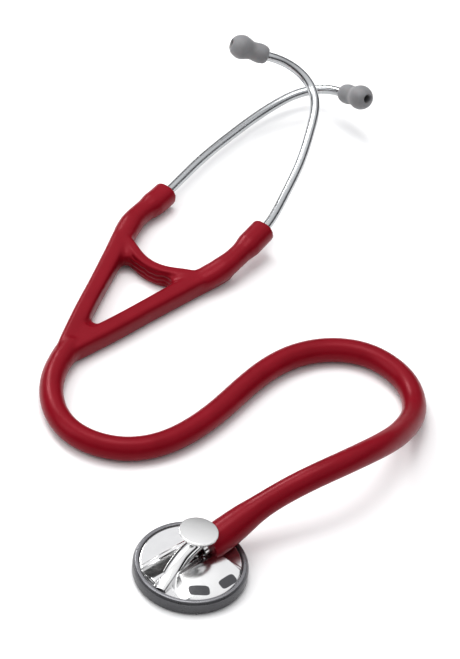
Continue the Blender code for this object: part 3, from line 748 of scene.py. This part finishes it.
def split_halves(skin, material):
    """Cut the skin down the headset's axis into two halves.

    Both halves keep the whole skin's normals, so that the cut doesn't show.
    """
    mesh = skin.data
    shape = bmesh.new()
    shape.from_mesh(mesh)
    centre = Vector(headset_point(0.0, 0.0)) * MM
    across = Vector((math.sin(HEADSET_AZIMUTH), -math.cos(HEADSET_AZIMUTH), 0.0))
    bmesh.ops.bisect_plane(shape, geom=shape.verts[:] + shape.edges[:] + shape.faces[:], plane_co=centre,
                           plane_no=across, dist=0.000001)
    shape.normal_update()
    shape.to_mesh(mesh)
    shape.free()
    mesh.shade_smooth()
    normals = {tuple(round(c, 7) for c in v.co): Vector(v.normal) for v in mesh.vertices}
    halves = (("yoke_left_skin", -1.0, "left_arm", ("left_arm", "yoke_body")),
              ("yoke_right_skin", 1.0, "right_arm", ("right_arm",)))
    for name, side, arm, stands_for in halves:
        half_mesh = mesh.copy()
        shape = bmesh.new()
        shape.from_mesh(half_mesh)
        away = [f for f in shape.faces if (f.calc_center_median() - centre).dot(across) * side < 0.0]
        bmesh.ops.delete(shape, geom=away, context="FACES")
        shape.to_mesh(half_mesh)
        shape.free()
        half_mesh.normals_split_custom_set_from_vertices(
            [normals[tuple(round(c, 7) for c in v.co)] for v in half_mesh.vertices])
        half = bpy.data.objects.new(name, half_mesh)
        half_mesh.name = name
        bpy.context.scene.collection.objects.link(half)
        half.data.materials.clear()
        half.data.materials.append(material)
        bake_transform(half)
        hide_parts(*stands_for)
    bpy.data.objects.remove(skin, do_unlink=True)


build_yoke_skin(PVC)


# ------------------------------------------------------------------ ear tubes and tips

def sleeve_end(line):
    """Middle of a sleeve's mouth, and the direction out of it."""
    end = headset_point(*line[-1])
    before = headset_point(*line[-2])
    out = (end - before) / np.linalg.norm(end - before)
    return end, out


def build_ear_tube(side, line, route, tip_base, material):
    """Bent steel tube, from inside its sleeve to inside its ear tip."""
    end, out = sleeve_end(line)
    tip = np.array(JOINTS[side + "_tip_pull"]["axis"], float)
    tip /= np.linalg.norm(tip)
    base = np.array(tip_base)
    knots = [end - out * 10.0, end] + [np.array(p) for p in route] + [base, base + tip * 8.0]
    points, _ = spline_through(knots, 220)
    tube = swept(side + "_tube_skin", points, EAR_TUBE_RADIUS, EAR_TUBE_RADIUS, 40)
    dress(tube, material, side + "_tube", "ear_tube", side + "_ear_tube")


def build_ear_tip(side, tip_base, material):
    """Soft tip: a large round lobe in front of a small one, a thin skirt and the sound hole."""
    lobes = [(2.15, 0.2), (3.5, 0.7), (4.45, 2.4), (4.7, 4.6), (4.5, 6.6), (4.35, 8.0), (4.65, 9.5),
             (5.3, 11.2), (5.75, 13.0), (5.6, 14.9), (4.85, 16.7), (3.7, 18.1), (2.6, 18.8)]
    outer, _ = spline_through(lobes, 70)
    hole = [(2.45, 18.8), (2.15, 18.5), (1.95, 17.8), (1.9, 10.5)]
    base = [(2.1, 9.5), (2.1, 0.3)]
    profile = [tuple(p) for p in outer] + hole + base
    tip = turned(side + "_tip_skin", profile, 72)
    stand_along(tip, tip_base, JOINTS[side + "_tip_pull"]["axis"])
    dress(tip, material, side + "_tip", "ear_tip", side + "_ear_tip")


TUBE_STEEL = steel_material("tube_steel", (0.50, 0.51, 0.52), 0.26, 0.015)
SILICONE = silicone_material()
build_ear_tube("left", LEFT_ARM_LINE, LEFT_TUBE_ROUTE, LEFT_TIP_BASE, TUBE_STEEL)
build_ear_tube("right", RIGHT_ARM_LINE, RIGHT_TUBE_ROUTE, RIGHT_TIP_BASE, TUBE_STEEL)
build_ear_tip("left", LEFT_TIP_BASE, SILICONE)
build_ear_tip("right", RIGHT_TIP_BASE, SILICONE)


# ------------------------------------------------------------------ chestpiece

def stem_axes():
    """Level directions along the stem and to its left."""
    along = np.array([math.cos(STEM_AZIMUTH), math.sin(STEM_AZIMUTH)])
    return along, np.array([-along[1], along[0]])


def soft_step(value, low, high):
    """0 below low, 1 above high and an S-curve between them."""
    t = np.clip((value - low) / (high - low), 0.0, 1.0)
    return t * t * (3.0 - 2.0 * t)


def right_of_ridge(t, s):
    """Distance in plan from the grip's ridge, to its right."""
    x = (t - s) * math.sqrt(0.5)
    y = (t + s) * math.sqrt(0.5)
    return 0.803 * (x + 3.6) - 0.596 * (y + 1.4)


def plate_height(t, s):
    """Height of the casting's upper face: t along the stem, s to its left.

    Left of the grip it is flat and steps down twice to a facet that rises to the ridge. Right of
    the grip a pocket with terraces runs up to a crest, and a broad convex face falls to the rim.
    """
    ridge = right_of_ridge(t, s)
    radius = np.hypot(t, s)
    back = 6.3 + sum(0.45 * soft_step(s, edge, edge + 0.25) for edge in (10.1, 11.5))
    facet = 5.7 + 0.36 * np.clip(10.1 - s, 0.0, 9.0)
    facet = np.minimum(facet, 7.2 + 1.3 * (PLATE_RADIUS - radius))
    rear = np.where(s > 10.1, back, facet)
    front = 9.9 - 0.0120 * (s + 4.8) ** 2 - 0.0020 * (t - 1.0) ** 2
    depth = np.minimum(s + 4.6, ridge - 4.4)
    pocket = 9.5 + 0.05 * np.clip(depth, 0.0, 8.0)
    for edge, fall in ((0.0, 1.4), (2.0, 1.1), (3.8, 1.1)):
        pocket = pocket - fall * soft_step(depth, edge, edge + 0.4)
    pocket = np.minimum(pocket, front)
    ahead = np.where(depth > 0.0, pocket, front)
    surface = np.where(ridge > 0.0, ahead, rear)
    right_edge = 12.4 + 0.16 * (-7.0 - s)
    for edge, level in ((right_edge, 7.5), (right_edge + 1.6, 7.1)):
        beyond = soft_step(t, edge, edge + 0.35) * (ridge > 0.0)
        surface = surface * (1.0 - beyond) + level * beyond
    fall = np.clip(-11.0 + 0.30 * (s + 5.0) - t, 0.0, 30.0)
    return np.where(ridge > 0.0, np.minimum(surface, np.maximum(front - 0.9 * fall, 5.4)), surface)


def build_plate(material):
    """Upper face of the casting as a fine height field that ends in a clean round edge.

    Grid points just outside the circle are pulled onto it, and a straight side runs down
    from there to a flat underside.
    """
    count = int(2.0 * (PLATE_RADIUS + 1.0) / PLATE_GRID)
    axis = (np.arange(count) - (count - 1) / 2.0) * PLATE_GRID
    t, s = np.meshgrid(axis, axis, indexing="ij")
    radius = np.hypot(t, s)
    inside = radius < PLATE_RADIUS - 0.35 * PLATE_GRID
    scale = np.where(inside, 1.0, PLATE_RADIUS / np.maximum(radius, 0.001))
    t = t * scale
    s = s * scale
    height = plate_height(t, s)
    height[1:-1, 1:-1] = (4.0 * height[1:-1, 1:-1] + height[:-2, 1:-1] + height[2:, 1:-1]
                          + height[1:-1, :-2] + height[1:-1, 2:]) / 8.0
    edge = np.clip((np.hypot(t, s) - PLATE_RADIUS + 0.9) / 0.9, 0.0, 1.0)
    height = np.minimum(height, PLATE_EDGE_HEIGHT) * edge + height * (1.0 - edge) - 0.35 * edge ** 2
    along, left = stem_axes()
    number = -np.ones(t.shape, int)
    vertices = []
    faces = []

    def vertex(i, j):
        if number[i, j] < 0:
            number[i, j] = len(vertices)
            x, y = t[i, j] * along + s[i, j] * left
            vertices.append((x, y, height[i, j]))
        return number[i, j]

    for i in range(count - 1):
        for j in range(count - 1):
            if inside[i:i + 2, j:j + 2].any():
                faces.append((vertex(i, j), vertex(i + 1, j), vertex(i + 1, j + 1), vertex(i, j + 1)))
    plate = mesh_object("plate_skin", vertices, faces)
    shape = bmesh.new()
    shape.from_mesh(plate.data)
    bmesh.ops.remove_doubles(shape, verts=shape.verts, dist=0.00001)
    border = [e for e in shape.edges if e.is_boundary]
    sides = bmesh.ops.extrude_edge_only(shape, edges=border)
    bottom = [v for v in sides["geom"] if isinstance(v, bmesh.types.BMVert)]
    for v in bottom:
        v.co.z = PLATE_UNDERSIDE * MM
    lower_edges = [e for e in sides["geom"] if isinstance(e, bmesh.types.BMEdge) and e.is_boundary]
    bmesh.ops.edgeloop_fill(shape, edges=lower_edges)
    bmesh.ops.recalc_face_normals(shape, faces=shape.faces)
    shape.to_mesh(plate.data)
    shape.free()
    plate.data.set_sharp_from_angle(angle=math.radians(32.0))
    dress(plate, material, "tubing", "polished_steel", "chestpiece_body")


def cap_axis():
    """Upward normal of the cap, which leans towards the tubing."""
    lean = math.sin(CAP_TILT)
    return Vector((lean * math.cos(STEM_AZIMUTH), lean * math.sin(STEM_AZIMUTH), math.cos(CAP_TILT)))


def build_grip(material):
    """The ridge from the front edge up to the neck, and the neck under the cap."""
    line = [(-12.3, -18.3, 4.9), (-10.9, -14.6, 5.2), (-9.0, -10.2, 6.1), (-6.6, -5.6, 8.2),
            (-3.6, -1.4, 11.4), (0.2, 2.2, 14.7), (3.2, 5.0, 17.0)]
    points, _ = spline_through(line, 90)
    t = np.linspace(0.0, 1.0, 90)
    width = np.interp(t, [0.0, 0.12, 0.4, 0.7, 1.0], [2.9, 3.5, 3.9, 3.7, 3.5])
    height = np.interp(t, [0.0, 0.1, 0.4, 0.7, 1.0], [2.6, 3.2, 3.6, 3.6, 3.2])
    ridge = swept("ridge", points, width, height, 64, 2.3)
    base = np.array(Vector(CAP_CENTRE) - cap_axis() * (CAP_THICKNESS + 0.05))
    descent = [base, (1.8, 4.6, 18.8), (1.0, 5.4, 15.0), (0.0, 6.4, 10.0), (-0.4, 6.9, 5.0)]
    down, _ = spline_through(descent, 60)
    fall = np.linspace(0.0, 1.0, 60)
    waist = np.interp(fall, [0.0, 0.04, 0.14, 0.3, 0.6, 0.85, 1.0], [7.2, 6.6, 4.8, 3.6, 3.2, 3.6, 4.6])
    neck = swept("neck", down, waist, waist, 64)
    grip = join([ridge, neck], "grip_skin")
    melt(grip, 0.3, 5, 0.0)
    grip.data.shade_smooth()
    dress(grip, material, "tubing", "polished_steel")


def build_cap(material):
    """The flat round disc on top of the grip."""
    corners = [(0.0, 0.0), (CAP_RADIUS, 0.0), (CAP_RADIUS, -CAP_THICKNESS), (0.0, -CAP_THICKNESS)]
    cap = turned("cap_skin", rounded(corners, [0.0, 0.35, 0.35, 0.0], 6), 128, closed=False)
    cap.data.shade_smooth()
    cap.data.set_sharp_from_angle(angle=math.radians(30.0))
    stand_along(cap, CAP_CENTRE, cap_axis())
    dress(cap, material, "tubing", "cap_steel", "thumb_cap")


def build_rim(material):
    """The ring round the casting, with a rounded top and a chamfered foot."""
    corners = [(22.85, 6.6), (23.15, 7.35), (24.7, 7.3), (25.55, 6.0), (25.7, 4.6), (25.7, 1.6), (25.3, 0.5),
               (24.3, 0.0), (23.1, 0.05), (23.0, 1.7), (22.85, 2.0)]
    rim = turned("rim_skin", rounded(corners, [0.3] * len(corners), 4), 160)
    rim.data.shade_smooth()
    rim.data.set_sharp_from_angle(angle=math.radians(35.0))
    dress(rim, material, "tubing", "rim", "rim_ring")


CAST_STEEL = steel_material("cast_steel", (0.76, 0.76, 0.76), 0.13, 0.03)
build_plate(painted_reflection_steel_material())
build_grip(CAST_STEEL)
build_cap(turned_steel_material())
build_rim(rim_material())
dress_node("stem_barb", steel_material("stem_steel", (0.72, 0.72, 0.72), 0.22, 0.05))
dress_node("diaphragm_surround", plastic_material("black_surround", (0.03, 0.03, 0.03), 0.6))
dress_node("diaphragm", diaphragm_material())
LEAF_STEEL = steel_material("leaf_steel", (0.50, 0.50, 0.52), 0.32, 0.05, (1.0, 1.0, 6.0))
CORE_PLASTIC = plastic_material("core_plastic", (0.72, 0.72, 0.70), 0.42)
for leaf in ("leaf_spring_inner", "leaf_spring_outer"):
    dress_node(leaf, LEAF_STEEL)
for core in ("left_tip_insert", "right_tip_insert"):
    dress_node(core, CORE_PLASTIC)

bpy.context.scene.view_settings.view_transform = "Standard"
bpy.context.scene.view_settings.look = "Medium High Contrast"
